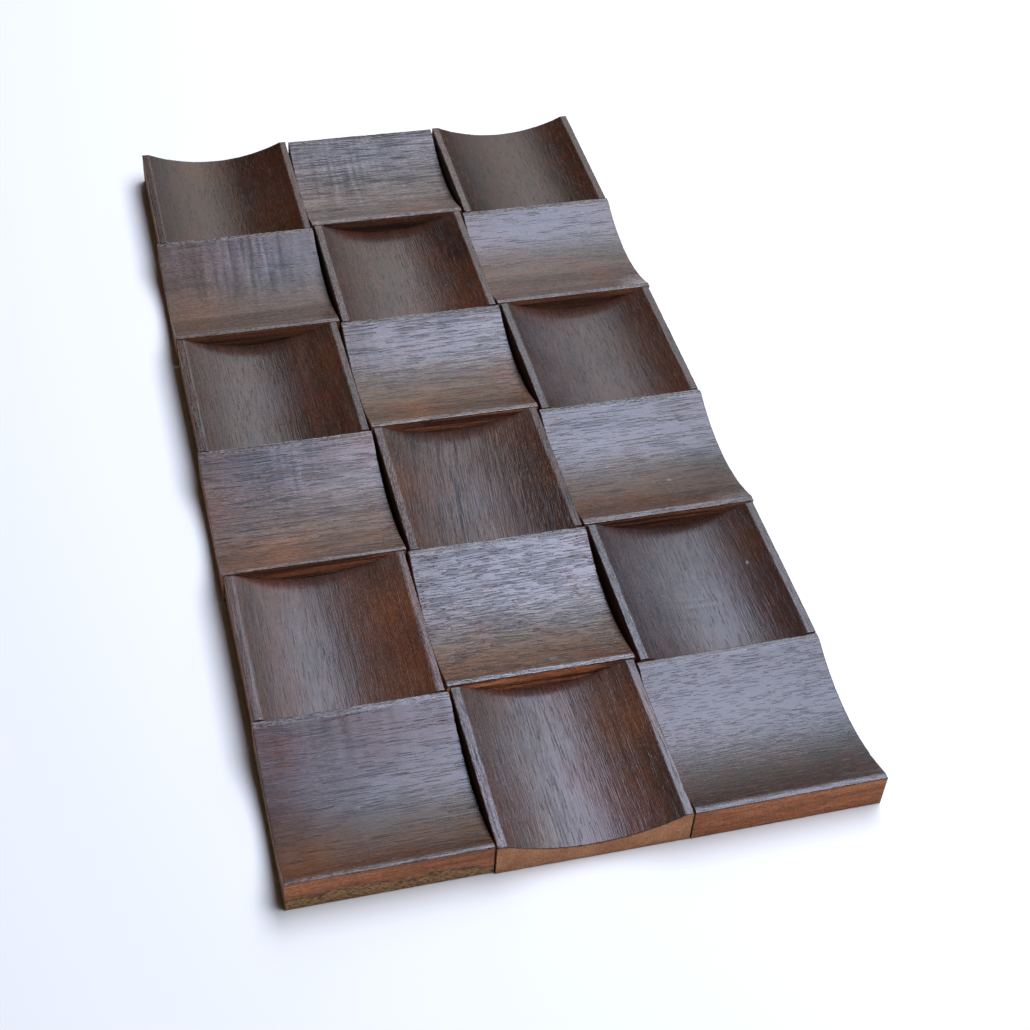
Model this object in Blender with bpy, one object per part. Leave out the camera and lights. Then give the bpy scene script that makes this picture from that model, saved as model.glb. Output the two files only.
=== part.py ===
"""Wall panel of eighteen coved hardwood blocks, lying face up.

The blocks stand in rows of three, and each one's grain and cove run square to its neighbours', so
coves along the panel alternate with coves across it. Lengths are in metres and angles in radians.
+X is to the right, +Y to the panel's back edge and +Z out of its face. The origin is on the
underside of the middle block of the third row, where the panel is fixed to its wall.
"""
import math

import bmesh
import bpy
from mathutils import Matrix, Vector

# The block, the same for all: its length runs with the grain and the cove. Edges turning by more
# than EASED_ABOVE are eased, so the crease between land and cove stays sharp.
BLOCK_LENGTH = 0.1005
BLOCK_WIDTH = 0.0978
BLOCK_THICKNESS = 0.0210
LAND_WIDTH = 0.0043
COVE_DEPTH = 0.0097
COVE_SEGMENTS = 32
EDGE_EASE = 0.0004
EASED_ABOVE = math.radians(50)

# The panel's grid: a seam is the mean gap between two blocks, across it in a row or along it
ROW_COUNT = 6
COLUMN_NAMES = ("left", "middle", "right")
ROW_SEAM = 0.00080
COLUMN_SEAM = 0.00135
ORIGIN_ROW = 3
MIDDLE_COLUMN = 2

# How each block lies off its place in the grid, in millimetres: to the right, to the back, and by
# how much one end is skewed against the other, counter-clockwise from above
BLOCK_DRIFT_MM = (
    ((0.1, -0.2, 0.4), (0.3, 0.4, -0.2), (0.4, -0.2, 0.1)),
    ((-0.1, 0.1, 0.1), (0.1, 0.7, 0.1), (-0.1, -0.3, 0.2)),
    ((-0.5, 0.0, 1.0), (0.2, 0.4, 0.1), (0.4, -0.2, 0.3)),
    ((-0.3, -0.2, 0.2), (0.2, 0.7, 0.4), (-0.1, -0.4, 0.3)),
    ((-0.3, -0.1, 0.3), (0.0, 0.5, -0.3), (0.5, -0.4, 0.2)),
    ((0.3, -0.1, 0.3), (-0.1, 0.4, 0.0), (-0.4, -0.8, 0.8)),
)
MILLIMETRE = 0.001

# Stain tones: colour, and which tone each block took
STAIN_COLOURS = {
    "grey_brown_stain": (0.16, 0.13, 0.12, 1.0),
    "dark_brown_stain": (0.10, 0.065, 0.05, 1.0),
    "red_brown_stain": (0.22, 0.14, 0.12, 1.0),
}
BLOCK_STAINS = (
    ("dark_brown_stain", "grey_brown_stain", "dark_brown_stain"),
    ("grey_brown_stain", "dark_brown_stain", "grey_brown_stain"),
    ("dark_brown_stain", "grey_brown_stain", "dark_brown_stain"),
    ("red_brown_stain", "dark_brown_stain", "grey_brown_stain"),
    ("dark_brown_stain", "grey_brown_stain", "dark_brown_stain"),
    ("red_brown_stain", "dark_brown_stain", "grey_brown_stain"),
)
STAIN_ROUGHNESS = 0.42


def clear_objects():
    """Remove whatever the scene starts with."""
    for item in list(bpy.data.objects):
        bpy.data.objects.remove(item, do_unlink=True)


def stain(name):
    """Satin stained wood in one of the named tones."""
    finish = bpy.data.materials.new(name)
    finish.use_nodes = True
    shader = finish.node_tree.nodes["Principled BSDF"]
    shader.inputs["Base Color"].default_value = STAIN_COLOURS[name]
    shader.inputs["Roughness"].default_value = STAIN_ROUGHNESS
    shader.inputs["Metallic"].default_value = 0.0
    return finish


def cove_arc():
    """Points of the cove's arc from its right edge to its left, across the block."""
    half_chord = BLOCK_WIDTH / 2 - LAND_WIDTH
    radius = (half_chord ** 2 + COVE_DEPTH ** 2) / (2 * COVE_DEPTH)
    centre_height = BLOCK_THICKNESS - COVE_DEPTH + radius
    half_angle = math.asin(half_chord / radius)
    points = []
    for step in range(COVE_SEGMENTS + 1):
        angle = half_angle * (1 - 2 * step / COVE_SEGMENTS)
        points.append((radius * math.sin(angle), centre_height - radius * math.cos(angle)))
    return points


def block_profile():
    """Outline of the block's end: flat underside, upright sides, two lands and the cove."""
    side = BLOCK_WIDTH / 2
    foot = [(-side, 0.0), (side, 0.0), (side, BLOCK_THICKNESS)]
    return foot + cove_arc() + [(-side, BLOCK_THICKNESS)]


def block_mesh(name):
    """One block standing on z = 0 about its own centre, with its grain along Y."""
    shape = bmesh.new()
    corners = [shape.verts.new((x, -BLOCK_LENGTH / 2, z)) for x, z in block_profile()]
    end = shape.faces.new(corners)
    sweep = bmesh.ops.extrude_face_region(shape, geom=[end])
    moved = [item for item in sweep["geom"] if isinstance(item, bmesh.types.BMVert)]
    bmesh.ops.translate(shape, verts=moved, vec=Vector((0.0, BLOCK_LENGTH, 0.0)))
    bmesh.ops.recalc_face_normals(shape, faces=shape.faces)
    mesh = bpy.data.meshes.new(name)
    shape.to_mesh(mesh)
    shape.free()
    return mesh


def grid_place(row, column):
    """Centre of a block's place in the grid, from the middle block of the origin's row."""
    half_pair = (BLOCK_LENGTH + BLOCK_WIDTH) / 2
    return Vector((
        (column - MIDDLE_COLUMN) * (half_pair + COLUMN_SEAM),
        (ORIGIN_ROW - row) * (half_pair + ROW_SEAM),
        0.0,
    ))


def block_drift(row, column):
    """How far a block lies off its place, with the origin's own block at none, and its turn."""
    right, back, skew = BLOCK_DRIFT_MM[row - 1][column - 1]
    origin_right, origin_back, _ = BLOCK_DRIFT_MM[ORIGIN_ROW - 1][MIDDLE_COLUMN - 1]
    shift = Vector((right - origin_right, back - origin_back, 0.0)) * MILLIMETRE
    turn = math.atan2(skew * MILLIMETRE, max(BLOCK_LENGTH, BLOCK_WIDTH))
    return shift, turn


def add_block(row, column, finishes):
    """Place one block, crosswise where its row and column add up to an odd number."""
    name = f"block_row{row}_{COLUMN_NAMES[column - 1]}"
    block = bpy.data.objects.new(name, block_mesh(name))
    block.data.materials.append(finishes[BLOCK_STAINS[row - 1][column - 1]])
    shift, turn = block_drift(row, column)
    if (row + column) % 2:
        turn += math.pi / 2
    place = Matrix.Translation(grid_place(row, column) + shift)
    block.matrix_world = place @ Matrix.Rotation(turn, 4, "Z")
    ease = block.modifiers.new("eased_edges", "BEVEL")
    ease.width = EDGE_EASE
    ease.segments = 1
    ease.limit_method = "ANGLE"
    ease.angle_limit = EASED_ABOVE
    bpy.context.scene.collection.objects.link(block)


def main():
    """Lay the whole panel, row by row from the back."""
    clear_objects()
    finishes = {name: stain(name) for name in STAIN_COLOURS}
    for row in range(1, ROW_COUNT + 1):
        for column in range(1, len(COLUMN_NAMES) + 1):
            add_block(row, column, finishes)


main()
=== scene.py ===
import math

import bmesh
import bpy
import numpy as np
from mathutils import Matrix, Vector


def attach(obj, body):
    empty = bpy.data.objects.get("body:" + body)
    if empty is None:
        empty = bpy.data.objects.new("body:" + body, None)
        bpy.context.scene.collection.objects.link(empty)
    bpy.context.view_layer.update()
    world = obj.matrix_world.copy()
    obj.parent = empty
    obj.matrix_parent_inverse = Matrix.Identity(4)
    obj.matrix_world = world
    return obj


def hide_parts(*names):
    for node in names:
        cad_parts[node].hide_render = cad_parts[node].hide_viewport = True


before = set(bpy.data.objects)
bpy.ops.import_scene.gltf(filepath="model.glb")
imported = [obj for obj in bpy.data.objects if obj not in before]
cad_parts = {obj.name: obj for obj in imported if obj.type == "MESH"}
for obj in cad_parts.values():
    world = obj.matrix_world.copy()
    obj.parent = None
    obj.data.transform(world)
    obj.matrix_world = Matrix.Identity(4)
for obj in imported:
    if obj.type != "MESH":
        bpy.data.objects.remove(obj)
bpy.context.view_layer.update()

# Camera, at the photograph's viewing angle
CAMERA_PLACE = (-0.2072, -0.8379, 0.7500)
CAMERA_AZIMUTH_DEG = 17.48
CAMERA_DOWN_DEG = 44.70
CAMERA_ROLL_DEG = 4.54
CAMERA_LENS_MM = 65.0
CAMERA_SENSOR_MM = 36.0

# Soft lights, all facing straight down: centre, size, and brightness of the face in each colour
LIGHT_HEIGHT = 2.0
SOFTBOXES = (
    ("overhead", (0.80, 0.10, LIGHT_HEIGHT), (0.80, 2.60), (6.4, 7.2, 9.7)),
    ("overhead_left", (0.275, 0.10, LIGHT_HEIGHT), (0.25, 2.60), (5.0, 5.7, 7.9)),
    ("overhead_right", (1.40, 0.10, LIGHT_HEIGHT), (0.40, 2.60), (6.8, 7.2, 7.7)),
    ("behind", (0.875, 2.05, LIGHT_HEIGHT), (1.45, 1.30), (1.9, 2.3, 2.6)),
    ("far_behind", (0.875, 4.85, LIGHT_HEIGHT), (1.45, 4.30), (1.45, 1.3, 1.2)),
    ("far_right", (2.60, 4.20, LIGHT_HEIGHT), (2.00, 5.60), (0.55, 0.7, 0.8)),
)
ROOM_COLOUR = (1.0, 0.75, 0.50, 1.0)
ROOM_STRENGTH = 0.03
FLOOR_REACH = 6.0
FLOOR_COLOUR = (0.88, 0.84, 0.74, 1.0)
FLOOR_ROUGHNESS = 0.9

# The panel's grid
ROW_COUNT = 6
COLUMN_NAMES = ("left", "middle", "right")

# Cells of a block's fine mesh: on each land, across the cove, along the grain and down the sides.
# They crowd towards the rims.
LAND_CELLS = 14
COVE_CELLS = 208
ACROSS_CELLS = 2 * LAND_CELLS + COVE_CELLS
ALONG_CELLS = 72
SIDE_ROWS = 8
FOOT_ROWS = 2
RIM_CELLS = 6
RIM_WIDTH = 0.0016
RIM_CROWDING = 1.5

# How near a point lies to a plane or an edge that it is on, and how far off one that it is clear of
IN_PLANE = 1e-5
ON_EDGE = 1e-6
CLEAR_OF = 1e-4

# Worn edges: how far the rim is eased, how deep it is nicked and how far the creases wander
EASE_RADIUS = 0.00038
EASE_SPREAD = 0.00022
EASE_CELLS = (0.010, 0.010)
NICK_DEPTH = 0.00045
NICK_CELLS = (0.0017, 0.0017)
NICK_GAIN = 2.5
NICK_BAR = 0.7
CORNER_RADIUS = 0.00025
CREASE_WANDER = 0.00025
CREASE_CELLS = (1.0, 0.019)
CREASE_QUICK_CELLS = (1.0, 0.005)
CREASE_QUICK_SHARE = 0.4

# Raised grain: low ridges along the block that sway, fade in and out, and lie in shallow hollows
RIDGE_HEIGHT = 0.00003
RIDGE_CELLS = (0.0013, 0.012)
RIDGE_BROAD_CELLS = (0.0031, 0.030)
RIDGE_BROAD_SHARE = 0.8
RIDGE_FADE = 0.6
RIDGE_FADE_CELLS = (0.025, 0.030)
GRAIN_SWAY = 0.0016
SWAY_CELLS = (0.030, 0.015)
HOLLOW_DEPTH = 0.00005
HOLLOW_CELLS = (0.040, 0.022)

# Sides: saw relief, the ease at the foot, and how much plainer than a long side the ends are
SAW_RELIEF = 0.00004
SAW_CELLS = (0.006, 0.002)
FOOT_EASE = 0.0004
END_PLAINNESS = 0.7

# Patches of stain, painted sheen and painted shade, and worn lands: how uneven they are
SPOT_UNEVEN = 0.35
SPOT_CELLS = (0.006, 0.022)
WEAR_MEAN = 0.8
WEAR_UNEVEN = 0.3
WEAR_CELLS = (0.0015, 0.006)
LAND_FADE = 0.0008

# How much bare wood shows on a block's sides, where the stain didn't reach: to the front, back,
# left and right of the panel as it lies, and underneath. Walls inside the panel show less, and
# their fronts by each block's look.
BARE_FRONT = 1.0
BARE_BACK = 0.7
BARE_LEFT = 0.65
BARE_INNER_LEFT = 0.2
BARE_RIGHT = 0.4
BARE_FOOT = 0.9

# Random draws: a block's first seed and how far the next block's lies from it, the cells of sloping
# noise before it repeats and its gain, and how far off the pattern's start a block's wood is cut
SEED_STEP = 100
FIRST_SEED = 11
LATTICE = 320
NOISE_GAIN = 1.5
WOOD_SHIFT = (1, 4)

# Colours of the stain, from the lightest block to the darkest
STAINS = {
    "fawn": (0.150, 0.116, 0.092),
    "russet": (0.118, 0.068, 0.044),
    "sand": (0.097, 0.064, 0.046),
    "copper": (0.097, 0.056, 0.034),
    "hazel": (0.075, 0.043, 0.027),
    "chestnut": (0.070, 0.034, 0.022),
    "umber": (0.065, 0.032, 0.020),
    "walnut": (0.047, 0.020, 0.011),
    "mahogany": (0.046, 0.016, 0.005),
    "slate": (0.039, 0.018, 0.011),
    "blackened": (0.032, 0.012, 0.005),
}

# The stain's darker and lighter bands, ruddy clouds and warm patches, as shares of its colour
DARK_BAND = (0.72, 0.72, 0.72)
LIGHT_BAND = (1.30, 1.30, 1.30)
RUDDY_CLOUD = (1.25, 0.90, 0.80)
WARM_SHARE = (1.9, 1.3, 0.8)
WARM_GLOW = (0.020, 0.006, 0.001)
FIBRE_SHADES = (0.80, 1.20)
SPECKLE_SHADES = (0.70, 1.30)
RIPPLE_SHADE = 1.5
# Painted sheen: pale grey laid over the stain where the satin finish would reflect the cool lights
PAINTED_SHEEN = (0.088, 0.079, 0.083)
# Dark patches: a knot and dark stain marks, and painted shade towards many blocks' right edges
DARK_MARK_AND_SHADE = (0.006, 0.004, 0.004, 1.0)
DARK_MARK_AND_SHADE_SHARE = 0.8
FILLED_PORE = (0.008, 0.006, 0.006, 1.0)
PALE_SPECK = (0.55, 0.52, 0.50, 1.0)

# Worn lands: the dark and pale of their mottle, and how far it covers the stain
WORN_DARK = (0.015, 0.010, 0.008, 1.0)
WORN_PALE = (0.24, 0.205, 0.185, 1.0)
WORN_SHARE = 0.40

# How full of dark stain the pores are, and how deep they and the fibre are
PORE_FILL = 0.25
PORE_FILL_BY_AMOUNT = 0.6
PORE_FILL_MOST = 0.95
PORE_DEPTH = 0.00015
PORE_DEPTH_LEAST = 0.15
PORE_DEPTH_BY_AMOUNT = 1.1
FIBRE_RELIEF = 0.00020

# Sheen of the stained face, and how rough it, its pores and its walls are
FACE_SPECULAR = 0.5
ROUGHNESS_SPREAD = 0.03
PORE_ROUGHNESS = 0.12
WALL_ROUGHNESS = (0.2, 0.9)

# Walls: their thin stain, darker than the face's as painted shade, and bare wood in its deep and
# pale streaks. Crosswise blocks show their redder long sides to the front, and lengthwise blocks
# their duller ends. The face's stain ends at STAIN_EDGE under the rim, and the underside turns to
# wall between the heights of WALL_FOOT.
WALL_STAIN_AND_SHADE = (0.035, 0.017, 0.010)
SIDE_WOOD = ((0.24, 0.076, 0.027), (0.50, 0.178, 0.070))
END_WOOD = ((0.34, 0.143, 0.062), (0.46, 0.212, 0.100))
BARE_PORE = (0.09, 0.03, 0.015, 1.0)
BARE_PORE_SHARE = 0.5
STAIN_EDGE = 0.0001
WALL_FOOT = (0.0001, 0.0005)

# Dark streaks in bare wood, and painted light just under the rim turning to painted shade down the
# wall
STREAK_LIFT = 0.5
PAINTED_LIGHT_UNDER_RIM = 1.25
PAINTED_SHADE_FALL = 0.7
PAINTED_SHADE_SPAN = (0.001, 0.009)

# Damp at the foot: its wood in dark and pale mottle, the tide line over it, and how uneven that is
DAMP_DARK = (0.120, 0.060, 0.022, 1.0)
DAMP_PALE = (0.460, 0.240, 0.090, 1.0)
TIDE_LINE = (0.020, 0.012, 0.006, 1.0)
TIDE_SHARE = 0.8
TIDE_WIDTH = (0.0013, 0.0002)
DAMP_EDGE = 0.0012
DAMP_FRAY = 0.0015
DAMP_WANDER = 0.003

# Patterns in the wood: how many cells a metre across, along and upwards, detail and distortion
GRAIN_PATTERNS = (
    ("Bands", (90, 6, 90), 4.0, 0.5),
    ("Streaks", (420, 16, 420), 3.0, 0.3),
    ("Fibre", (1900, 60, 1900), 1.0, 0.0),
    ("Ripple", (26, 400, 26), 0.0, 0.2),
    ("Blotch", (34, 26, 34), 4.0, 0.0),
    ("Specks", (1500, 700, 1500), 1.0, 0.0),
)
GRAIN_ROUGH = 0.6

# Over which part of its pattern's noise each effect grows
BAND_SPAN = (0.3, 0.7)
CLOUD_SPAN = (0.45, 0.65)
FIBRE_SPAN = (0.25, 0.75)
SPECKLE_SPAN = (0.3, 0.7)
WORN_SPAN = (0.38, 0.60)
GLOSS_SPAN = (0.3, 0.7)
RUN_SPAN = (0.45, 0.75)
STREAK_SPAN = (0.35, 0.62)
FRAY_SPAN = (0.2, 0.8)
WANDER_SPAN = (0.3, 0.7)
DAMP_SPAN = (0.35, 0.60)

# Pores, in cells a metre: long dashes and short hairs where noise passes a bar, which falls where
# they crowd, and growth lines where slow noise passes its middle
PORE_SWAY = (45, 16, 45)
PORE_SWAY_REACH = 0.006
PORE_DASHES = (1400, 75, 1400)
PORE_HAIRS = (2600, 90, 2600)
HAIR_SHARE = 0.6
PORE_CROWD = (150, 22, 150)
CROWD_FALL = 0.24
PORE_BAR = 0.74
BAR_BY_AMOUNT = 0.14
PORE_EDGE = 0.06
GROWTH_RINGS = (330, 12, 330)
GROWTH_LINE = (0.030, 0.010)
LINE_CROWD = (0.42, 0.60)

# How each block looks, from the photograph. In pairs, the first is at the cove's left or front
# edge and the second at its right or back edge: lands are how much wider than usual they are, land
# wear is how pale, and fill is how far the block is drawn out to its left and right at its front.
# A patch is its place right and back of the block's centre, its radius and its strength.
PLAIN_LOOK = {
    "stain": "umber",
    "sheen": 1.0,
    "roughness": 0.19,
    "clouds": 1.0,
    "pores": 0.3,
    "pore_depth": 1.0,
    "lines": 0.2,
    "relief": 0.45,
    "wave": 0.12,
    "squeeze": 0.7,
    "slant": 0.0,
    "lands": (0.0, 0.0),
    "land_wear": (1.0, 1.6),
    "crease": 0.0005,
    "fill": (0.0, 0.0),
    "bare_wood": SIDE_WOOD,
    "bare_inner": 0.6,
    "bare_shade": 1.0,
    # streaks in bare wood, with painted light and shade down the walls
    "streaks_painted_light_and_shade": 0.75,
    "run": 0.0010,
    "damp_foot": 0.0,
    "warm_patches": (),
    # painted sheen, laid into the colour in patches
    "painted_sheen_patches": (),
    # a knot and dark stain marks, and painted shade towards the right edge
    "dark_mark_and_painted_shade_patches": (),
    "ripple_patches": (),
    "specks": (),
}
LENGTHWISE_LOOK = {
    "roughness": 0.24, "pores": 0.22, "lines": 0.35, "relief": 0.48, "squeeze": 0.5,
    "land_wear": (0.9, 0.35), "bare_wood": END_WOOD,
}
# The front row's outer walls have no streaks and no painted light and shade
FRONT_ROW_LOOK = {"streaks_painted_light_and_shade": 0.0, "run": 0.0004}
BLOCK_LOOKS = {
    "block_row1_left": {
        "stain": "blackened", "sheen": 1.18, "pores": 0.1, "squeeze": 1.6,
        "land_wear": (0.3, 0.6),
        "warm_patches": ((0.036, -0.020, 0.020, 0.25), (-0.010, 0.040, 0.012, 0.3)),
        "painted_sheen_patches": ((0.036, 0.000, 0.030, 0.06),),
    },
    "block_row1_middle": {
        "stain": "fawn", "sheen": 0.62, "clouds": 0.3, "pores": 0.6, "lines": 0.8, "relief": 1.1,
        "wave": 0.25, "lands": (-0.0010, 0.0), "bare_inner": 0.25,
        "warm_patches": ((0.030, -0.038, 0.018, 0.3),),
        "painted_sheen_patches": ((-0.020, 0.030, 0.040, 0.4), (0.025, 0.035, 0.040, 0.3)),
        "dark_mark_and_painted_shade_patches": ((0.043, -0.012, 0.0018, 1.0), (0.038, -0.020, 0.032, 0.22)),
        "ripple_patches": ((-0.018, 0.015, 0.028, 1.1),),
    },
    "block_row1_right": {
        "stain": "blackened", "sheen": 1.13, "pores": 0.1, "squeeze": 1.6,
    },
    "block_row2_left": {
        "stain": "sand", "sheen": 0.72, "clouds": 0.3, "pores": 0.15, "lands": (-0.0012, 0.0),
        "bare_inner": 0.45,
        "warm_patches": ((-0.035, -0.020, 0.025, 0.25),),
        "painted_sheen_patches": ((0.010, 0.035, 0.040, 0.5), (0.030, 0.005, 0.025, 0.3)),
        "ripple_patches": ((0.004, 0.022, 0.033, 1.5),),
    },
    "block_row2_middle": {
        "stain": "walnut", "sheen": 1.2, "squeeze": 1.2,
        "warm_patches": ((0.030, -0.035, 0.015, 0.3),),
        "dark_mark_and_painted_shade_patches": ((0.034, 0.034, 0.012, 0.8), (0.038, 0.012, 0.009, 0.6)),
    },
    "block_row2_right": {
        "stain": "sand", "sheen": 0.75, "lands": (-0.0012, 0.0), "bare_inner": 0.5,
        "painted_sheen_patches": ((-0.020, 0.040, 0.035, 0.5), (0.025, 0.040, 0.030, 0.3)),
        "dark_mark_and_painted_shade_patches": ((0.036, -0.005, 0.025, 0.15),),
    },
    "block_row3_left": {
        "stain": "walnut", "sheen": 1.18, "squeeze": 1.0, "land_wear": (0.3, 0.6),
        "warm_patches": ((0.040, 0.020, 0.015, 0.3),),
        "painted_sheen_patches": ((0.000, 0.000, 0.020, 0.2),),
    },
    "block_row3_middle": {
        "stain": "copper", "sheen": 1.05, "pores": 0.55, "lines": 1.0, "relief": 0.5, "wave": 0.25,
        "lands": (-0.0010, 0.0), "bare_inner": 1.0, "bare_shade": 1.3,
        "warm_patches": ((-0.020, -0.042, 0.020, 0.4),),
        "painted_sheen_patches": ((-0.020, 0.040, 0.030, 0.4), (0.025, 0.040, 0.030, 0.4)),
        "ripple_patches": ((-0.032, 0.020, 0.018, 0.7),),
    },
    "block_row3_right": {
        "stain": "walnut", "sheen": 0.93, "squeeze": 1.2,
        "painted_sheen_patches": ((-0.035, 0.020, 0.025, 0.3), (-0.035, -0.025, 0.025, 0.3)),
        "dark_mark_and_painted_shade_patches": ((0.036, 0.036, 0.014, 0.35),),
    },
    "block_row4_left": {
        "stain": "russet", "sheen": 1.2, "pores": 0.65, "lines": 0.6, "relief": 0.8,
        "lands": (-0.0022, 0.0), "bare_inner": 1.0, "bare_shade": 1.2,
        "warm_patches": ((-0.020, -0.038, 0.026, 0.5), (-0.045, 0.020, 0.015, 0.2)),
        "painted_sheen_patches": ((-0.030, -0.008, 0.018, 0.4), (-0.015, 0.042, 0.035, 0.75)),
        "ripple_patches": ((0.000, 0.030, 0.025, 0.4),),
    },
    "block_row4_middle": {
        "stain": "umber", "sheen": 0.92, "clouds": 0.6, "pores": 0.45, "lines": 1.3,
        "relief": 1.1, "wave": 0.3, "squeeze": 0.7, "slant": -0.10,
        "warm_patches": ((0.040, -0.010, 0.016, 0.35), (0.036, 0.033, 0.016, 0.4),
                         (-0.038, 0.005, 0.016, 0.3)),
        "painted_sheen_patches": ((-0.004, -0.010, 0.026, 0.35),),
        "dark_mark_and_painted_shade_patches": ((0.042, 0.028, 0.024, 0.5), (0.044, -0.020, 0.026, 0.5)),
    },
    "block_row4_right": {
        "stain": "hazel", "sheen": 0.88, "pores": 0.5, "lands": (-0.0002, 0.0), "bare_inner": 0.7,
        "painted_sheen_patches": ((-0.022, 0.040, 0.035, 0.5), (0.025, 0.040, 0.030, 0.2)),
        "dark_mark_and_painted_shade_patches": ((0.042, 0.004, 0.026, 0.75),),
        "specks": ((0.012, -0.015, 0.0006, 1.0),),
    },
    "block_row5_left": {
        "stain": "chestnut", "sheen": 0.98, "squeeze": 0.9, "land_wear": (0.25, 0.6),
        "crease": 0.0014,
        "warm_patches": ((0.040, 0.015, 0.018, 0.6), (0.036, -0.035, 0.018, 0.4)),
        "painted_sheen_patches": ((-0.015, 0.000, 0.025, 0.25),),
    },
    "block_row5_middle": {
        "stain": "hazel", "sheen": 1.3, "pores": 0.8, "lines": 0.9, "relief": 0.65, "wave": 0.5,
        "squeeze": 1.2, "lands": (-0.0013, 0.0), "land_wear": (1.7, 1.4), "bare_inner": 1.0,
        "bare_shade": 2.9,
        "warm_patches": ((-0.035, -0.034, 0.022, 0.6), (0.000, -0.038, 0.022, 0.4),
                         (0.035, -0.040, 0.018, 0.3)),
        "painted_sheen_patches": ((-0.020, 0.040, 0.035, 0.25), (0.025, 0.040, 0.035, 0.25)),
        "specks": ((0.030, -0.018, 0.0006, 1.0),),
    },
    "block_row5_right": {
        "stain": "slate", "sheen": 0.88, "squeeze": 1.1,
        "warm_patches": ((0.038, 0.020, 0.018, 0.3),),
        "painted_sheen_patches": ((-0.035, 0.020, 0.030, 0.4), (-0.030, -0.025, 0.030, 0.4),
                         (0.000, 0.000, 0.025, 0.2)),
        "dark_mark_and_painted_shade_patches": ((0.038, -0.010, 0.020, 0.25),),
        "ripple_patches": ((0.000, -0.010, 0.022, 0.5),),
        "specks": ((0.032, 0.010, 0.0005, 0.6),),
    },
    "block_row6_left": {
        "stain": "mahogany", "sheen": 1.22, "pores": 0.45, "lines": 0.5, "relief": 0.5,
        "lands": (-0.0020, 0.0), "crease": 0.0016, "fill": (0.0, 0.00025), "bare_shade": 1.07,
        "damp_foot": 0.009,
        "warm_patches": ((-0.042, 0.032, 0.020, 0.6), (-0.038, -0.038, 0.022, 0.8),
                         (0.010, -0.046, 0.020, 0.3), (0.010, 0.044, 0.030, 0.3)),
        "painted_sheen_patches": ((-0.005, 0.005, 0.030, 0.5), (-0.034, 0.034, 0.022, 0.95)),
    },
    "block_row6_middle": {
        "stain": "umber", "sheen": 0.87, "pores": 0.35, "lines": 0.5, "relief": 0.50,
        "squeeze": 0.9, "lands": (0.0004, 0.0), "fill": (0.0, 0.0005), "bare_shade": 1.22,
        "warm_patches": ((0.038, 0.015, 0.020, 0.5),),
        "painted_sheen_patches": ((-0.035, 0.010, 0.025, 0.3), (-0.030, -0.030, 0.025, 0.3)),
    },
    "block_row6_right": {
        "stain": "slate", "sheen": 0.96, "pores": 0.45, "pore_depth": 0.65, "lines": 0.1,
        "relief": 0.6, "wave": 0.5, "squeeze": 1.4, "lands": (-0.0008, 0.0),
        "land_wear": (0.5, 0.4), "crease": 0.0016, "fill": (0.00035, 0.0),
        "painted_sheen_patches": ((-0.015, 0.030, 0.030, 0.15),),
        "dark_mark_and_painted_shade_patches": ((0.044, 0.008, 0.036, 0.85),),
    },
}


# Blocks

class Block:
    """Place, turn and sizes of one block, read off its CAD node."""

    def __init__(self, name):
        self.name = name
        _, row_name, column_name = name.split("_")
        row = int(row_name.removeprefix("row"))
        column = COLUMN_NAMES.index(column_name) + 1
        self.lengthwise = (row + column) % 2 == 0
        self.in_front_row = row == ROW_COUNT
        self.in_left_column = column == 1
        points = np.array([vertex.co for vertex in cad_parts[name].data.vertices])
        foot = np.unique(points[points[:, 2] < IN_PLANE].round(6), axis=0)[:, :2]
        self.centre = foot.mean(axis=0)
        corners = foot - self.centre
        right_corners, left_corners = corners[corners[:, 0] > 0], corners[corners[:, 0] < 0]
        to_right = right_corners.mean(axis=0) - left_corners.mean(axis=0)
        quarter = 0.0 if self.lengthwise else math.pi / 2
        self.turn = math.atan2(to_right[1], to_right[0]) + quarter
        self.across_axis = np.array([math.cos(self.turn), math.sin(self.turn)])
        self.along_axis = np.array([-math.sin(self.turn), math.cos(self.turn)])
        across = (points[:, :2] - self.centre) @ self.across_axis
        along = (points[:, :2] - self.centre) @ self.along_axis
        height = points[:, 2]
        self.thickness = height.max()
        self.half_width = across.max()
        self.half_length = along.max()
        on_land = (height > self.thickness - IN_PLANE) & (along < self.half_length - CLEAR_OF)
        self.half_cove = np.abs(across[on_land]).min()
        self.land = self.half_width - self.half_cove
        in_cove = (np.abs(across) < self.half_cove - CLEAR_OF) & (height > self.thickness / 4)
        self.depth = self.thickness - height[in_cove].min()

    def look(self):
        """Everything that sets the block's looks."""
        turned = LENGTHWISE_LOOK if self.lengthwise else {}
        in_front = FRONT_ROW_LOOK if self.in_front_row else {}
        return {**PLAIN_LOOK, **turned, **in_front, **BLOCK_LOOKS[self.name]}

    def to_panel(self, across, along):
        """Panel X and Y of points given across and along the block."""
        place = np.outer(across, self.across_axis) + np.outer(along, self.along_axis) + self.centre
        return place[:, 0], place[:, 1]

    def right_and_back(self, across, along):
        """How far points lie to the panel's right and back of the block's centre."""
        right = across * self.across_axis[0] + along * self.along_axis[0]
        back = across * self.across_axis[1] + along * self.along_axis[1]
        return right, back

    def on_side(self, across):
        """Which points lie on the block's long sides."""
        return np.abs(across) > self.half_width - ON_EDGE

    def on_end(self, along):
        """Which points lie on the block's ends."""
        return np.abs(along) > self.half_length - ON_EDGE


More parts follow.
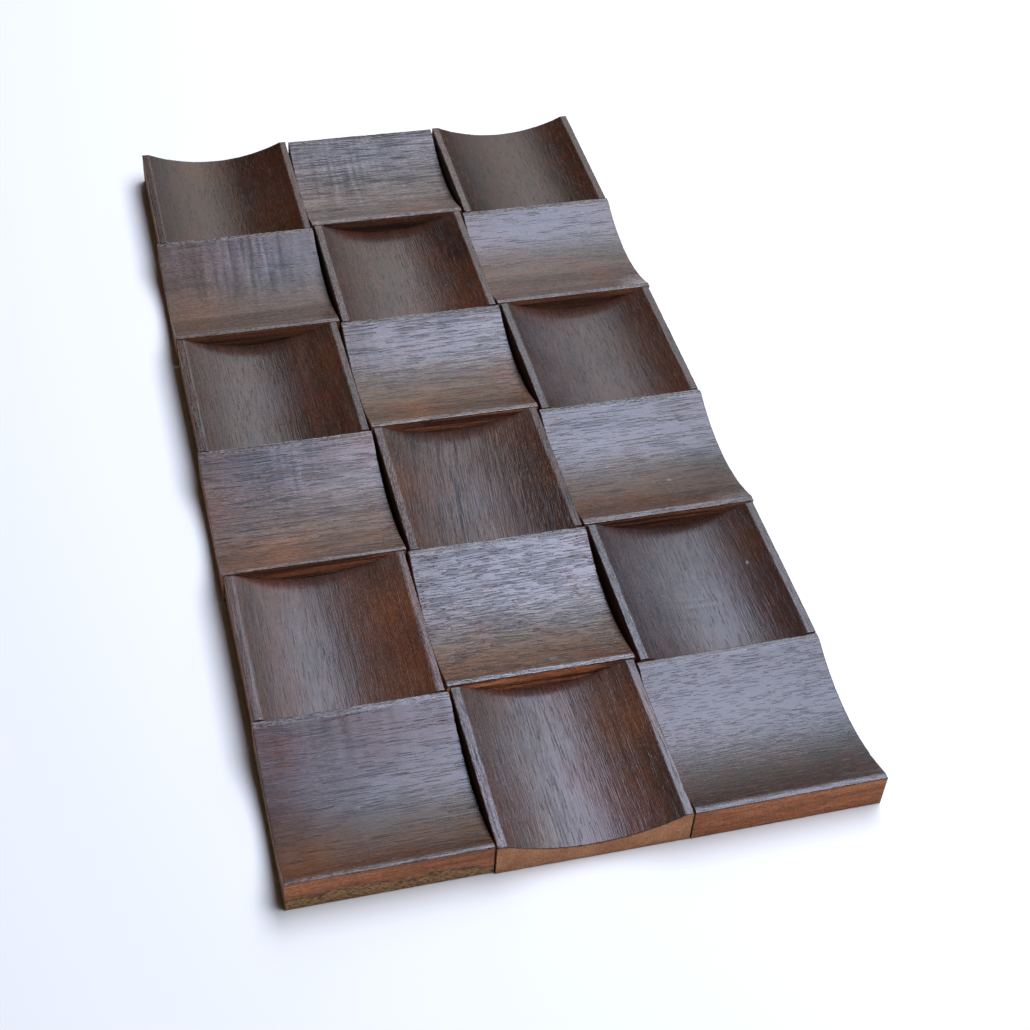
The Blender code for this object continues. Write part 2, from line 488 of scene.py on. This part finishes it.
def sloping_noise(across, along, cells, seed):
    """Smooth noise, mostly from -1 to 1, in cells of the given size across and along."""
    angle = np.random.default_rng(seed).uniform(0, 2 * math.pi, (LATTICE + 1, LATTICE + 1))
    slope_across, slope_along = np.cos(angle), np.sin(angle)
    a = across / cells[0] + LATTICE / 2
    b = along / cells[1] + LATTICE / 2
    column, row = np.floor(a).astype(int), np.floor(b).astype(int)
    a, b = a - column, b - row
    column, row = column % LATTICE, row % LATTICE

    def corner(i, j):
        here = column + i, row + j
        return slope_across[here] * (a - i) + slope_along[here] * (b - j)

    ease_a, ease_b = a ** 3 * (a * (6 * a - 15) + 10), b ** 3 * (b * (6 * b - 15) + 10)
    near = corner(0, 0) * (1 - ease_a) + corner(1, 0) * ease_a
    far = corner(0, 1) * (1 - ease_a) + corner(1, 1) * ease_a
    return NOISE_GAIN * (near * (1 - ease_b) + far * ease_b)


def rim_spaced(cells, half):
    """Places from -half to half, crowded towards both rims and even between them."""
    rim = RIM_WIDTH * (np.arange(RIM_CELLS) / RIM_CELLS) ** RIM_CROWDING
    middle = np.linspace(-half + RIM_WIDTH, half - RIM_WIDTH, cells + 1 - 2 * RIM_CELLS)
    return np.concatenate([-half + rim, middle, half - rim[::-1]])


def land_widths(block, look, rows, seed):
    """Width of both lands at each row, with their wandering creases."""
    lands = []
    for side, extra in enumerate(look["lands"]):
        wander = sloping_noise(rows * 0 + side, rows, CREASE_CELLS, seed + side)
        quick = sloping_noise(rows * 0 + side, rows, CREASE_QUICK_CELLS, seed + 2 + side)
        wander += CREASE_QUICK_SHARE * quick
        lands.append(block.land + extra + CREASE_WANDER * wander)
    return lands


def top_sheet(block, look, seed):
    """Across, along and height of each cell corner of the carved top before wear, with a column of
    corners on both creases, which are a little rounded."""
    rows = rim_spaced(ALONG_CELLS, block.half_length)
    share = (np.arange(LAND_CELLS) / LAND_CELLS) ** RIM_CROWDING
    lands = land_widths(block, look, rows, seed)
    low = -block.half_width + np.outer(share, lands[0])
    high = block.half_width - np.outer(share[::-1], lands[1])
    reach = np.linspace(-1, 1, COVE_CELLS + 1)
    cove = np.outer((1 - reach) / 2, -block.half_width + lands[0])
    cove += np.outer((1 + reach) / 2, block.half_width - lands[1])
    across = np.concatenate([low, cove, high])
    radius = (block.half_cove ** 2 + block.depth ** 2) / (2 * block.depth)
    arc = np.sqrt(radius ** 2 - (reach * block.half_cove) ** 2) - (radius - block.depth)
    flat = np.zeros(LAND_CELLS)
    sink = np.repeat(np.concatenate([flat, arc, flat])[:, None], len(rows), axis=1)
    steep = block.half_cove / (radius - block.depth)
    crease = look["crease"]
    for inside in (across + block.half_width - lands[0], block.half_width - lands[1] - across):
        rounded = steep * (inside + crease) ** 2 / (4 * crease)
        sink = np.where(np.abs(inside) < crease, np.maximum(sink, rounded), sink)
    return across, np.tile(rows, (ACROSS_CELLS + 1, 1)), block.thickness - sink


def worn_rim(block, across, along, seed):
    """How far the rim's eased and nicked edge lies below the sharp one."""
    ease = EASE_RADIUS + EASE_SPREAD * sloping_noise(across, along, EASE_CELLS, seed)
    nick = sloping_noise(across, along, NICK_CELLS, seed + 1)
    ease += NICK_DEPTH * np.clip(nick * NICK_GAIN - NICK_BAR, 0, 1)
    drop = np.zeros(across.shape)
    for gap in (block.half_width - np.abs(across), block.half_length - np.abs(along)):
        inside = np.clip(ease - gap, 0, None)
        drop += ease - np.sqrt(ease ** 2 - inside ** 2)
    return drop


def raised_grain(look, across, along, seed):
    """How far the surface lies below its highest ridges of raised grain."""
    sway = across + GRAIN_SWAY * look["wave"] * sloping_noise(across, along, SWAY_CELLS, seed)
    ridges = sloping_noise(sway, along, RIDGE_CELLS, seed + 1)
    ridges += RIDGE_BROAD_SHARE * sloping_noise(sway, along, RIDGE_BROAD_CELLS, seed + 2)
    strength = 1 + RIDGE_FADE * sloping_noise(across, along, RIDGE_FADE_CELLS, seed + 3)
    hollows = sloping_noise(across, along, HOLLOW_CELLS, seed + 4)
    below_ridges = np.clip(1 + strength * ridges / (1 + RIDGE_BROAD_SHARE), 0, 2)
    return RIDGE_HEIGHT * below_ridges + HOLLOW_DEPTH * np.clip(1 + hollows, 0, 2)


def block_topology():
    """A sheet of cells whose rim is drawn down in rows and closed below by one flat face; each
    vertex's row is its level."""
    shape = bmesh.new()
    bmesh.ops.create_grid(shape, x_segments=ACROSS_CELLS, y_segments=ALONG_CELLS, size=1.0)
    level = shape.verts.layers.int.new("level")
    rim = [edge for edge in shape.edges if edge.is_boundary]
    for row in range(1, SIDE_ROWS + 1):
        drawn = bmesh.ops.extrude_edge_only(shape, edges=rim)["geom"]
        for vertex in (item for item in drawn if isinstance(item, bmesh.types.BMVert)):
            vertex[level] = row
        rim = [item for item in drawn if isinstance(item, bmesh.types.BMEdge) and item.is_boundary]
    bmesh.ops.contextual_create(shape, geom=rim)
    bmesh.ops.recalc_face_normals(shape, faces=shape.faces)
    for face in shape.faces:
        face.smooth = len(face.verts) == 4
    return shape


def round_corners(block, across, along):
    """The same places with the block's four upright corners rounded."""
    flat_width = block.half_width - CORNER_RADIUS
    flat_length = block.half_length - CORNER_RADIUS
    side = np.clip(CORNER_RADIUS - (block.half_width - np.abs(across)), 0, None)
    end = np.clip(CORNER_RADIUS - (block.half_length - np.abs(along)), 0, None)
    out = np.hypot(side, end)
    pull = CORNER_RADIUS / np.maximum(out, CORNER_RADIUS)
    cornered = pull < 1
    across = np.where(cornered, np.sign(across) * (flat_width + side * pull), across)
    along = np.where(cornered, np.sign(along) * (flat_length + end * pull), along)
    return across, along


def drawn_down(block, across, along, top, level, seed):
    """The places of a block's points once its sides fall from the rim, with a little saw relief,
    rounded corners and an eased foot."""
    straight_rows = SIDE_ROWS - FOOT_ROWS
    share = np.clip(level / straight_rows, 0, 1)
    foot = np.clip((level - straight_rows) / FOOT_ROWS, 0, 1)
    height = top * (1 - share) + FOOT_EASE * share - FOOT_EASE * foot
    saw = SAW_RELIEF * (1 + sloping_noise(across + along, height, SAW_CELLS, seed))
    inward = np.where(level > 0, saw, 0.0) + FOOT_EASE * foot ** 2
    on_side, on_end = block.on_side(across), block.on_end(along)
    across, along = round_corners(block, across, along)
    across = across - np.sign(across) * inward * on_side
    along = along - np.sign(along) * inward * on_end
    return across, along, height


def filled_out(block, look, x, y):
    """Panel X of points, with the block drawn out to its left and right towards its front."""
    size = 2 * block.half_width
    right = (x - block.centre[0]) / size
    front = 0.5 - (y - block.centre[1]) / size
    left_fill, right_fill = look["fill"]
    return x + np.clip(front, 0, 1) * (right_fill * (0.5 + right) - left_fill * (0.5 - right))


def side_bareness(block, look, across, along, level):
    """How bare each vertex's side was left by the stain."""
    right, back = block.right_and_back(across, along)
    on_side = block.on_side(across)
    faces_right = on_side if block.lengthwise else ~on_side
    left = BARE_LEFT if block.in_left_column else BARE_INNER_LEFT
    sideways = np.where(right > 0, BARE_RIGHT, left)
    front = BARE_FRONT if block.in_front_row else look["bare_inner"]
    lengthways = np.where(back > 0, BARE_BACK, front)
    bare = np.where(faces_right, sideways, lengthways)
    return np.where(level == SIDE_ROWS, BARE_FOOT, bare)


def soft_spots(block, spots, across, along, seed):
    """The strength of a block's soft spots, a little drawn out along the grain."""
    right, back = block.right_and_back(across, along)
    strength = np.zeros(across.shape)
    for place_right, place_back, radius, most in spots:
        reach = np.hypot(right - place_right, back - place_back) / radius
        strength += most * np.exp(-reach ** 2)
    return strength * (1 + SPOT_UNEVEN * sloping_noise(across, along, SPOT_CELLS, seed))


def land_share(block, look, across, along, seed):
    """How worn the lands are, fading out over their inner creases."""
    low = -across - (block.half_width - block.land - look["lands"][0])
    high = across - (block.half_width - block.land - look["lands"][1])
    uneven = WEAR_MEAN + WEAR_UNEVEN * sloping_noise(across, along, WEAR_CELLS, seed)
    wear = np.where(across < 0, *look["land_wear"])
    return wear * np.clip(np.maximum(low, high) / LAND_FADE + 0.5, 0, 1) * uneven


def surface_maps(block, look, across, along, level, seed):
    """What the finish reads at each vertex, by name."""
    def spots(key, offset):
        return soft_spots(block, look[key], across, along, seed + offset)

    ends = np.where(block.on_end(along), END_PLAINNESS, 0.0)
    return {
        "bare_side": side_bareness(block, look, across, along, level),
        "plainness": np.where(level == SIDE_ROWS, 1.0, ends),
        "land_wear": land_share(block, look, across, along, seed + 5),
        "warmth": spots("warm_patches", 0),
        "ripple": spots("ripple_patches", 2),
        # a knot and stain marks, and painted shade
        "dark_mark_and_painted_shade": spots("dark_mark_and_painted_shade_patches", 4),
        # painted sheen
        "painted_sheen": spots("painted_sheen_patches", 6),
        "speck": spots("specks", 8),
    }


def grain_place(look, across, along, height, seed):
    """Where each vertex lies in the wood that the block was cut from."""
    shift = np.random.default_rng(seed).uniform(*WOOD_SHIFT, 3)
    leaning = across + look["slant"] * along
    return np.column_stack([leaning, along * look["squeeze"], height]) + shift


def carve_block(block, look, seed):
    """The block as it is: cove, lands, raised grain and worn edges, inside its CAD solid."""
    shape = block_topology()
    level_layer = shape.verts.layers.int["level"]
    unit = np.array([vertex.co[:2] for vertex in shape.verts])
    level = np.array([vertex[level_layer] for vertex in shape.verts])
    column = np.rint((unit[:, 0] + 1) / 2 * ACROSS_CELLS).astype(int)
    row = np.rint((unit[:, 1] + 1) / 2 * ALONG_CELLS).astype(int)
    across, along, top = (sheet[column, row] for sheet in top_sheet(block, look, seed))
    rim = worn_rim(block, across, along, seed + 10)
    top = top - (rim + raised_grain(look, across, along, seed + 20))
    maps = surface_maps(block, look, across, along, level, seed + 30)
    place_across, place_along, height = drawn_down(block, across, along, top, level, seed + 40)
    maps["below_rim"] = top - height
    maps["foot_height"] = height
    x, y = block.to_panel(place_across, place_along)
    x = filled_out(block, look, x, y)

    mesh = bpy.data.meshes.new(block.name + "_carved")
    shape.to_mesh(mesh)
    shape.free()
    mesh.vertices.foreach_set("co", np.column_stack([x, y, height]).ravel())
    grain = mesh.attributes.new("grain", "FLOAT_VECTOR", "POINT")
    grain.data.foreach_set("vector", grain_place(look, across, along, height, seed + 50).ravel())
    for label, values in maps.items():
        layer = mesh.attributes.new(label, "FLOAT", "POINT")
        layer.data.foreach_set("value", values.astype(np.float32))
    mesh.update()
    piece = bpy.data.objects.new(block.name + "_carved", mesh)
    bpy.context.scene.collection.objects.link(piece)
    return piece


# Node helpers

class Tree:
    """A node tree being wired up: makes nodes, sets their plain inputs and links the rest."""

    def __init__(self, tree):
        self.tree = tree

    def add(self, kind, inputs=(), **settings):
        """A node with its settings, and its inputs set or linked by name or number."""
        node = self.tree.nodes.new(kind)
        for key, value in settings.items():
            setattr(node, key, value)
        for key, value in dict(inputs).items():
            if isinstance(value, bpy.types.NodeSocket):
                self.tree.links.new(value, node.inputs[key])
            else:
                node.inputs[key].default_value = value
        return node

    def link(self, value, socket):
        """Feed a value into a socket."""
        self.tree.links.new(value, socket)

    def read(self, label, output="Fac"):
        """What the mesh carries at each vertex under a name."""
        return self.add("ShaderNodeAttribute", attribute_name=label).outputs[output]

    def math(self, operation, a, b=0.0):
        """One sum of two values."""
        return self.add("ShaderNodeMath", {0: a, 1: b}, operation=operation).outputs[0]

    def eased(self, value, low, high, to_low=0.0, to_high=1.0):
        """A value's span from low to high eased on to another, held at its ends."""
        spans = {0: value, 1: low, 2: high, 3: to_low, 4: to_high}
        return self.add("ShaderNodeMapRange", spans, interpolation_type="SMOOTHSTEP").outputs[0]

    def mixed(self, factor, a, b):
        """Two colours mixed."""
        return self.add("ShaderNodeMix", {0: factor, 6: a, 7: b}, data_type="RGBA").outputs[2]

    def shaded(self, colour, factor):
        """A colour made lighter or darker by a factor."""
        inputs = {0: colour, "Scale": factor}
        return self.add("ShaderNodeVectorMath", inputs, operation="SCALE").outputs[0]

    def noise(self, vector, stretch, detail=3.0, rough=0.55, distortion=0.0):
        """Noise from 0 to 1 with so many cells a metre on each axis."""
        place = self.add("ShaderNodeMapping", {"Vector": vector, "Scale": stretch}).outputs[0]
        return self.add("ShaderNodeTexNoise", {"Vector": place, "Scale": 1.0, "Detail": detail,
                        "Roughness": rough, "Distortion": distortion}).outputs[0]


def new_group(name, inputs, outputs):
    """A new shader node group with its sockets, and the ends to wire from and to."""
    made = bpy.data.node_groups.new(name, "ShaderNodeTree")
    for label, kind, value in inputs:
        socket = made.interface.new_socket(label, in_out="INPUT", socket_type="NodeSocket" + kind)
        if value is not None:
            socket.default_value = value
    for label in outputs:
        made.interface.new_socket(label, in_out="OUTPUT", socket_type="NodeSocketFloat")
    tree = Tree(made)
    return made, tree, tree.add("NodeGroupInput").outputs, tree.add("NodeGroupOutput").inputs


def opaque(colour, shares=(1.0, 1.0, 1.0)):
    """A colour with each channel scaled, as a material takes it."""
    return (*(share * channel for share, channel in zip(shares, colour)), 1.0)


# Finishes

def open_pores():
    """Group: dark pores and thin dark growth lines drawn out along the grain, and the height of the
    face with them."""
    made, t, given, out = new_group("open_pores", [
        ("Grain", "Vector", None),
        ("Amount", "Float", 0.5),
        ("Lines", "Float", 0.5),
        ("Wave", "Float", 0.5),
    ], ("Mask", "Height"))
    reach = t.math("MULTIPLY", given["Wave"], PORE_SWAY_REACH)
    sway = t.math("MULTIPLY", t.noise(given["Grain"], PORE_SWAY, detail=2.0), reach)
    sway = t.add("ShaderNodeCombineXYZ", {0: sway, 2: sway}).outputs[0]
    flow = t.add("ShaderNodeVectorMath", {0: given["Grain"], 1: sway}, operation="ADD").outputs[0]
    crowd = t.noise(given["Grain"], PORE_CROWD, detail=2.0)
    bar = t.math("SUBTRACT", PORE_BAR, t.math("MULTIPLY", given["Amount"], BAR_BY_AMOUNT))
    fall = t.math("MULTIPLY", t.math("SUBTRACT", crowd, 0.5), CROWD_FALL)
    bar = t.math("SUBTRACT", bar, fall)
    deep, fine = (
        t.eased(t.math("SUBTRACT", t.noise(flow, cells, detail=0.0), bar), 0.0, PORE_EDGE)
        for cells in (PORE_DASHES, PORE_HAIRS)
    )
    rings = t.noise(flow, GROWTH_RINGS, detail=2.0, rough=0.6)
    line = t.eased(t.math("ABSOLUTE", t.math("SUBTRACT", rings, 0.5)), *GROWTH_LINE)
    line = t.math("MULTIPLY", line, t.eased(crowd, *LINE_CROWD))
    mask = t.math("MAXIMUM", deep, t.math("MULTIPLY", fine, HAIR_SHARE))
    mask = t.math("MAXIMUM", mask, t.math("MULTIPLY", line, given["Lines"]))
    t.link(mask, out["Mask"])
    t.link(t.math("SUBTRACT", 1.0, mask), out["Height"])
    return made


def grain_bands():
    """Group: slow bands, streaks, fine fibre, cross ripple, blotches and specks, all from 0 to 1."""
    labels = [pattern[0] for pattern in GRAIN_PATTERNS]
    made, t, given, out = new_group("grain_bands", [("Grain", "Vector", None)], labels)
    for label, stretch, detail, distortion in GRAIN_PATTERNS:
        t.link(t.noise(given["Grain"], stretch, detail, GRAIN_ROUGH, distortion), out[label])
    return made


class BlockFinish(Tree):
    """The finish of one block being wired up, with its look and the patterns of its wood."""

    def __init__(self, material, look, pores, bands):
        super().__init__(material.node_tree)
        self.look = look
        grain = self.read("grain", "Vector")
        self.below = self.read("below_rim")
        self.foot = self.read("foot_height")
        self.rippled = self.read("ripple")
        amounts = {"Amount": look["pores"], "Lines": look["lines"], "Wave": look["wave"]}
        pore = self.add("ShaderNodeGroup", {"Grain": grain, **amounts}, node_tree=pores)
        band = self.add("ShaderNodeGroup", {"Grain": grain}, node_tree=bands)
        self.pore = pore.outputs
        self.band = band.outputs
        speckle = self.eased(self.band["Specks"], *SPECKLE_SPAN, *SPECKLE_SHADES)
        fibre = self.eased(self.band["Fibre"], *FIBRE_SPAN, *FIBRE_SHADES)
        self.fibre = self.math("MULTIPLY", fibre, speckle)
        self.streaks = self.eased(self.band["Bands"], *BAND_SPAN)

    def face_colour(self):
        """The stained face: bands and clouds, soft patches, worn lands, filled pores, specks."""
        tone = STAINS[self.look["stain"]]
        warm = [glow + share * c for glow, share, c in zip(WARM_GLOW, WARM_SHARE, tone)]
        clouds = self.eased(self.band["Blotch"], *CLOUD_SPAN, 0.0, self.look["clouds"])
        banded = self.mixed(self.streaks, opaque(tone, DARK_BAND), opaque(tone, LIGHT_BAND))
        stain = self.shaded(self.mixed(clouds, banded, opaque(tone, RUDDY_CLOUD)), self.fibre)
        # Painted sheen: pale grey mixed into the stain's colour in patches, in place of the finish's
        # reflection
        painted_sheen = self.read("painted_sheen")
        stain = self.mixed(painted_sheen, stain, self.shaded(PAINTED_SHEEN, self.fibre))
        stain = self.mixed(self.read("warmth"), stain, self.shaded(warm, self.fibre))
        ripple = self.math("SUBTRACT", self.band["Ripple"], 0.5)
        figure = self.math("MULTIPLY", ripple, self.math("MULTIPLY", self.rippled, RIPPLE_SHADE))
        stain = self.shaded(stain, self.math("ADD", figure, 1.0))
        # Dark patches: a knot and stain marks, and painted shade towards many blocks' right edges
        dimmed = self.math("MULTIPLY", self.read("dark_mark_and_painted_shade"), DARK_MARK_AND_SHADE_SHARE)
        stain = self.mixed(dimmed, stain, DARK_MARK_AND_SHADE)
        mottled = self.mixed(self.eased(self.band["Specks"], *WORN_SPAN), WORN_DARK, WORN_PALE)
        worn = self.math("MULTIPLY", self.read("land_wear"), WORN_SHARE)
        stain = self.mixed(worn, stain, mottled)
        fill = (PORE_FILL + PORE_FILL_BY_AMOUNT * self.look["pores"]) * self.look["pore_depth"]
        # The pores take more dark stain under the painted sheen, so the painted sheen leaves them
        # out
        filled = self.math("MINIMUM", self.math("ADD", painted_sheen, fill), PORE_FILL_MOST)
        stain = self.mixed(self.math("MULTIPLY", self.pore["Mask"], filled), stain, FILLED_PORE)
        return self.mixed(self.read("speck"), stain, PALE_SPECK)

    def wall_share(self):
        """Where the walls begin, just under the rim and below the runs of the face's stain."""
        run = self.eased(self.band["Blotch"], *RUN_SPAN, 0.0, self.look["run"])
        below = self.math("SUBTRACT", self.below, run)
        return self.eased(below, STAIN_EDGE, STAIN_EDGE + self.look["run"] / 2)

    def streaks_painted_light_and_shade(self, wood):
        """Bare wood with dark streaks, painted light under the rim and painted shade down the wall,
        and plainer on ends and underneath.
        """
        strength = self.look["streaks_painted_light_and_shade"]
        streaks = self.eased(self.band["Streaks"], *STREAK_SPAN, 1.0 - strength,
                             1.0 + STREAK_LIFT * strength)
        # Painted light just under the rim, turning to painted shade further down the wall
        depth = self.eased(self.below, *PAINTED_SHADE_SPAN, PAINTED_LIGHT_UNDER_RIM,
                           PAINTED_LIGHT_UNDER_RIM - PAINTED_SHADE_FALL * strength)
        change = self.math("SUBTRACT", self.math("MULTIPLY", streaks, depth), 1.0)
        kept = self.math("SUBTRACT", 1.0, self.read("plainness"))
        return self.shaded(wood, self.math("ADD", self.math("MULTIPLY", change, kept), 1.0))

    def damp(self, wood, on_wall):
        """Bare wood soaked up to a dark tide line above the foot."""
        tide = self.look["damp_foot"]
        fray = self.eased(self.band["Fibre"], *FRAY_SPAN, -DAMP_FRAY, DAMP_FRAY)
        wander = self.eased(self.band["Blotch"], *WANDER_SPAN, -DAMP_WANDER, DAMP_WANDER)
        reach = self.math("ADD", self.math("ADD", self.foot, fray), wander)
        soaked = self.mixed(self.eased(self.band["Specks"], *DAMP_SPAN), DAMP_DARK, DAMP_PALE)
        line = self.eased(self.math("ABSOLUTE", self.math("SUBTRACT", reach, tide)), *TIDE_WIDTH)
        soaked = self.mixed(self.math("MULTIPLY", line, TIDE_SHARE), soaked, TIDE_LINE)
        share = self.math("MULTIPLY", self.eased(reach, tide + DAMP_EDGE, tide), on_wall)
        return self.mixed(share, wood, soaked)

    def bare_colour(self):
        """Bare wood of the sides that the stain missed."""
        deep_wood, pale_wood = self.look["bare_wood"]
        on_wall = self.eased(self.foot, *WALL_FOOT)
        wood = self.mixed(self.streaks, opaque(deep_wood), opaque(pale_wood))
        wood = self.shaded(wood, self.eased(on_wall, 0.0, 1.0, 1.0, self.look["bare_shade"]))
        # Streaks, with painted light under the rim and painted shade down the wall
        if self.look["streaks_painted_light_and_shade"]:
            wood = self.streaks_painted_light_and_shade(wood)
        pores = self.math("MULTIPLY", self.pore["Mask"], BARE_PORE_SHARE)
        wood = self.mixed(pores, self.shaded(wood, self.fibre), BARE_PORE)
        if self.look["damp_foot"]:
            wood = self.damp(wood, on_wall)
        return wood

    def roughness(self, on_wall):
        """How rough the face, its pores and its walls are."""
        mean = self.look["roughness"]
        face = self.eased(self.band["Fibre"], *GLOSS_SPAN, mean - ROUGHNESS_SPREAD,
                          mean + ROUGHNESS_SPREAD)
        face = self.math("ADD", face, self.math("MULTIPLY", self.pore["Mask"], PORE_ROUGHNESS))
        return self.math("MAXIMUM", face, self.eased(on_wall, 0.0, 1.0, *WALL_ROUGHNESS))

    def normal(self):
        """Normal of the pitted pores, and of the fibre and ripple over them."""
        pits = PORE_DEPTH_LEAST + PORE_DEPTH_BY_AMOUNT * self.look["pores"]
        pitted = self.add("ShaderNodeBump", {
            "Strength": 1.0,
            "Distance": PORE_DEPTH * pits * self.look["pore_depth"],
            "Height": self.pore["Height"],
        })
        ripple = self.math("MULTIPLY", self.band["Ripple"], self.rippled)
        return self.add("ShaderNodeBump", {
            "Strength": 1.0,
            "Distance": FIBRE_RELIEF * self.look["relief"],
            "Height": self.math("ADD", self.band["Fibre"], ripple),
            "Normal": pitted.outputs[0],
        }).outputs[0]


def block_finish(name, look, pores, bands):
    """Worn dark satin stain over open-pored wood, with bare wood on the sides it missed."""
    finish = bpy.data.materials.new(name)
    finish.use_nodes = True
    shader = finish.node_tree.nodes["Principled BSDF"]
    t = BlockFinish(finish, look, pores, bands)
    on_wall = t.wall_share()
    # The walls' thin stain is darker than the face's, as painted shade
    stain = t.mixed(on_wall, t.face_colour(), t.shaded(WALL_STAIN_AND_SHADE, t.fibre))
    bare = t.math("MULTIPLY", on_wall, t.read("bare_side"))
    t.link(t.mixed(bare, stain, t.bare_colour()), shader.inputs["Base Color"])
    t.link(t.roughness(on_wall), shader.inputs["Roughness"])
    t.link(t.normal(), shader.inputs["Normal"])
    shader.inputs["Specular IOR Level"].default_value = FACE_SPECULAR * look["sheen"]
    return finish


# Studio

def add_camera():
    """The camera where the photograph was taken from."""
    azimuth, down, roll = (
        math.radians(angle) for angle in (CAMERA_AZIMUTH_DEG, CAMERA_DOWN_DEG, CAMERA_ROLL_DEG)
    )
    level_part = math.cos(down)
    ahead = Vector((math.sin(azimuth) * level_part, math.cos(azimuth) * level_part, -math.sin(down)))
    level = ahead.cross(Vector((0, 0, 1))).normalized()
    upright = level.cross(ahead)
    right = level * math.cos(roll) + upright * math.sin(roll)
    up = upright * math.cos(roll) - level * math.sin(roll)
    lens = bpy.data.cameras.new("photo_camera")
    lens.lens = CAMERA_LENS_MM
    lens.sensor_width = CAMERA_SENSOR_MM
    camera = bpy.data.objects.new("photo_camera", lens)
    facing = Matrix((right, up, -ahead)).transposed().to_4x4()
    camera.matrix_world = Matrix.Translation(Vector(CAMERA_PLACE)) @ facing
    bpy.context.scene.collection.objects.link(camera)
    bpy.context.scene.camera = camera


def add_softbox(name, place, size, glow):
    """A soft rectangular light facing straight down, by the brightness of its face."""
    lamp = bpy.data.lights.new(name, "AREA")
    lamp.shape = "RECTANGLE"
    lamp.size, lamp.size_y = size
    brightest = max(glow)
    lamp.energy = math.pi * size[0] * size[1] * brightest
    lamp.color = [channel / brightest for channel in glow]
    holder = bpy.data.objects.new(name, lamp)
    holder.location = place
    bpy.context.scene.collection.objects.link(holder)


def add_floor():
    """A wide pale floor under the panel."""
    shape = bmesh.new()
    bmesh.ops.create_grid(shape, x_segments=1, y_segments=1, size=FLOOR_REACH)
    mesh = bpy.data.meshes.new("floor")
    shape.to_mesh(mesh)
    shape.free()
    floor = bpy.data.objects.new("floor", mesh)
    bpy.context.scene.collection.objects.link(floor)
    finish = bpy.data.materials.new("pale_floor")
    finish.use_nodes = True
    shader = finish.node_tree.nodes["Principled BSDF"]
    shader.inputs["Base Color"].default_value = FLOOR_COLOUR
    shader.inputs["Roughness"].default_value = FLOOR_ROUGHNESS
    mesh.materials.append(finish)


def add_studio():
    """Floor, soft lights overhead, behind and to the far right, and a faint warm room."""
    add_floor()
    for name, place, size, glow in SOFTBOXES:
        add_softbox(name, place, size, glow)
    world = bpy.data.worlds.new("studio")
    bpy.context.scene.world = world
    world.use_nodes = True
    backdrop = world.node_tree.nodes["Background"]
    backdrop.inputs["Color"].default_value = ROOM_COLOUR
    backdrop.inputs["Strength"].default_value = ROOM_STRENGTH
    bpy.context.scene.view_settings.view_transform = "Standard"


def main():
    """Set the studio and dress every block."""
    add_camera()
    add_studio()
    pores, bands = open_pores(), grain_bands()
    for number, name in enumerate(sorted(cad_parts)):
        block = Block(name)
        look = block.look()
        piece = carve_block(block, look, seed=SEED_STEP * number + FIRST_SEED)
        piece.data.materials.append(block_finish(name + "_finish", look, pores, bands))
        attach(piece, "root")
        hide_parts(name)


main()
